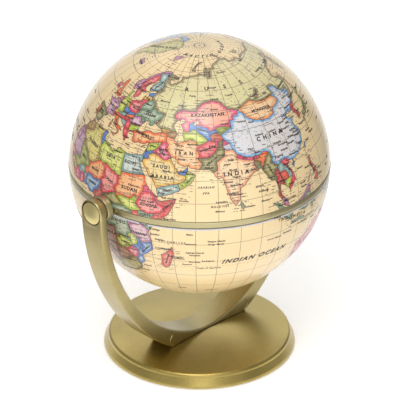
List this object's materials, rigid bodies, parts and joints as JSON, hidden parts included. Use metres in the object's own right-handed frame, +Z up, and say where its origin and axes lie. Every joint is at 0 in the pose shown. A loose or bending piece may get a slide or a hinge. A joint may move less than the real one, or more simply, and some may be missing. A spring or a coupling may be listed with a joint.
{
  "type": "desktop globe on stand",
  "caption": "Small desktop globe with a vintage-style political map, carried by a gold equator ring that tilts in a U-shaped arm on a round domed base.",
  "frame": {"origin": "middle of the underside of the base pad, on the table", "axes": "+Z up along the base's axis and, at rest, the globe's polar axis; X along the ring's tilting axis, -X at the pivot marked left; Y across the arm"},
  "size_m": [0.1222, 0.1064, 0.137],
  "materials": {
    "satin_gold": "satin gold paint on metal",
    "printed_map": "printed map under a gloss varnish",
    "pole_plastic": "ivory plastic",
    "plated_steel": "zinc plated",
    "nylon": "natural nylon",
    "black_plastic": "moulded, matt",
    "foam_pad": "closed-cell foam"
  },
  "bodies": {
    "stand": {"base_disc": "satin_gold", "base_pad": "foam_pad", "arm_screw_left": "plated_steel", "arm_screw_right": "plated_steel", "arm_washer_left": "plated_steel", "arm_washer_right": "plated_steel", "support_arm": "satin_gold", "pivot_cap_left": "satin_gold", "pivot_cap_right": "satin_gold", "pivot_bush_left": "nylon", "pivot_bush_right": "nylon"},
    "ring": {"equator_ring": "satin_gold", "axle_bridge": "black_plastic", "bridge_screw_front": "plated_steel", "bridge_screw_back": "plated_steel", "axle_bush_upper": "nylon", "axle_bush_lower": "nylon", "pivot_screw_left": "plated_steel", "pivot_screw_right": "plated_steel"},
    "globe": {"north_hemisphere": "printed_map", "south_hemisphere": "printed_map", "polar_axle": "plated_steel", "axle_clip_north": "plated_steel", "axle_clip_south": "plated_steel", "axle_screw_north": "plated_steel", "axle_screw_south": "plated_steel", "pole_cap_north": "pole_plastic", "pole_cap_south": "pole_plastic"}
  },
  "joints": [
    {"name": "ring_tilt", "type": "hinge", "parent": "stand", "child": "ring", "pos_m": [0, 0, 0.084], "axis": [1, 0, 0], "continuous": true},
    {"name": "globe_spin", "type": "hinge", "parent": "ring", "child": "globe", "pos_m": [0, 0, 0.084], "axis": [0, 0, 1], "continuous": true}
  ]
}
